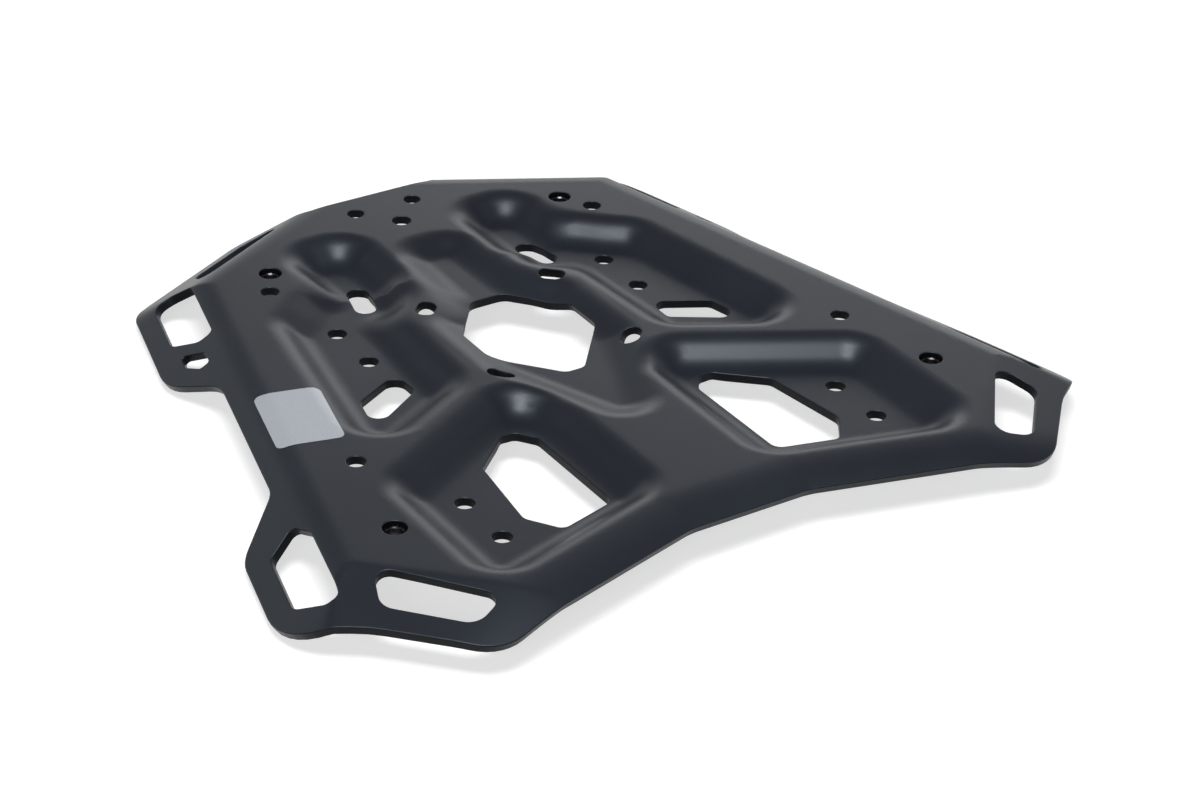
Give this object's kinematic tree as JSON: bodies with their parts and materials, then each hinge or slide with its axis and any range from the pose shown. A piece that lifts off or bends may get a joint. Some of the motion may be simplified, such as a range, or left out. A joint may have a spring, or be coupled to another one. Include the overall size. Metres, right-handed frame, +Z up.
{
  "type": "motorcycle luggage rack",
  "caption": "Pressed sheet luggage rack with sunk pockets, a centre opening, strap slots along its bent edges and threaded corner bushes.",
  "frame": {"origin": "on the surface it stands on, under the middle of its box", "axes": "+X to the right across the machine, +Y to the narrow front edge, +Z up out of the loaded face"},
  "size_m": [0.3782, 0.3456, 0.0228],
  "materials": {
    "plate_coat": "satin black powder coat with a fine grain on aluminium sheet",
    "bush_metal": "black zinc-nickel plated steel",
    "label_film": "satin silver-grey label film, blank"
  },
  "bodies": {
    "root": {"rack_plate": "plate_coat", "threaded_bush_front_left": "bush_metal", "threaded_bush_front_right": "bush_metal", "threaded_bush_rear_left": "bush_metal", "threaded_bush_rear_right": "bush_metal"}
  },
  "joints": []
}
